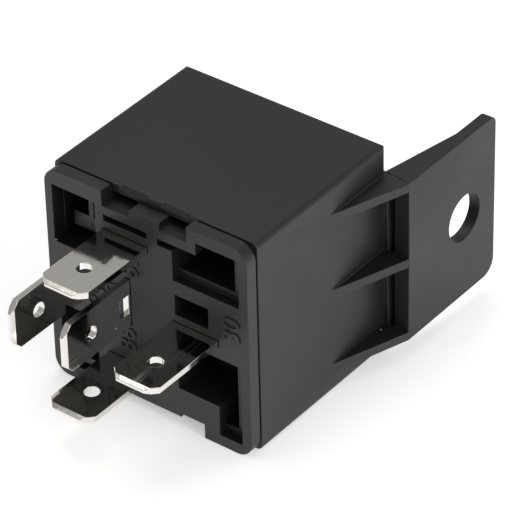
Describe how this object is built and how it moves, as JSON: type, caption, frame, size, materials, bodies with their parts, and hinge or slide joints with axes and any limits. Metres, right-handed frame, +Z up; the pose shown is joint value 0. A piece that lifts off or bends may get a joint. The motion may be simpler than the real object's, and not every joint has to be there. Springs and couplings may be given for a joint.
{
  "type": "automotive relay",
  "caption": "Black plug-in changeover relay with flat blade terminals, a square moulded case and a gusseted mounting arm with a bolt hole, with its coil, armature and contacts inside",
  "frame": {"origin": "middle of the flat side that the case lies on, below the middle of the case", "axes": "+Z up from the side the case lies on; -Y the way the blades point; +Y towards the mounting arm; +X the side that carries the arm"},
  "size_m": [0.0313, 0.0531, 0.028],
  "materials": {
    "case_plastic": "fine spark-eroded black thermoplastic",
    "base_plastic": "smooth moulded black thermoplastic",
    "blade_metal": "tin-plated brass sheet, bright",
    "iron": "zinc-plated soft iron",
    "bobbin_plastic": "glass-filled black nylon",
    "copper_wire": "enamelled copper wire",
    "tape": "amber polyester tape",
    "spring_bronze": "rolled bronze strip",
    "contact_silver": "silver alloy contact faces",
    "rivet_steel": "plated steel rivets",
    "resistor_paint": "pale blue lacquer"
  },
  "bodies": {
    "case": {"cover": "case_plastic", "base": "base_plastic", "terminal_30": "blade_metal", "terminal_85": "blade_metal", "terminal_86": "blade_metal", "terminal_87": "blade_metal", "terminal_87a": "blade_metal", "yoke": "iron", "core": "iron", "bobbin": "bobbin_plastic", "coil_winding": "copper_wire", "coil_tape": "tape", "coil_lead_85": "copper_wire", "coil_lead_86": "copper_wire", "yoke_rivets": "rivet_steel", "contact_no": "contact_silver", "contact_nc": "contact_silver", "resistor_body": "resistor_paint", "resistor_leads": "blade_metal"},
    "armature": {"armature": "iron", "contact_spring": "spring_bronze", "moving_contact": "contact_silver", "armature_rivets": "rivet_steel"}
  },
  "joints": [
    {"name": "armature_hinge", "type": "hinge", "parent": "case", "child": "armature", "pos_m": [0.0121, 0.00704, 0.014], "axis": [0, 0, 1], "range_deg": [0, 2.6], "stiffness_Nm_per_rad": 0.05, "springref_deg": -6.88, "deforming": ["contact_spring"]}
  ]
}
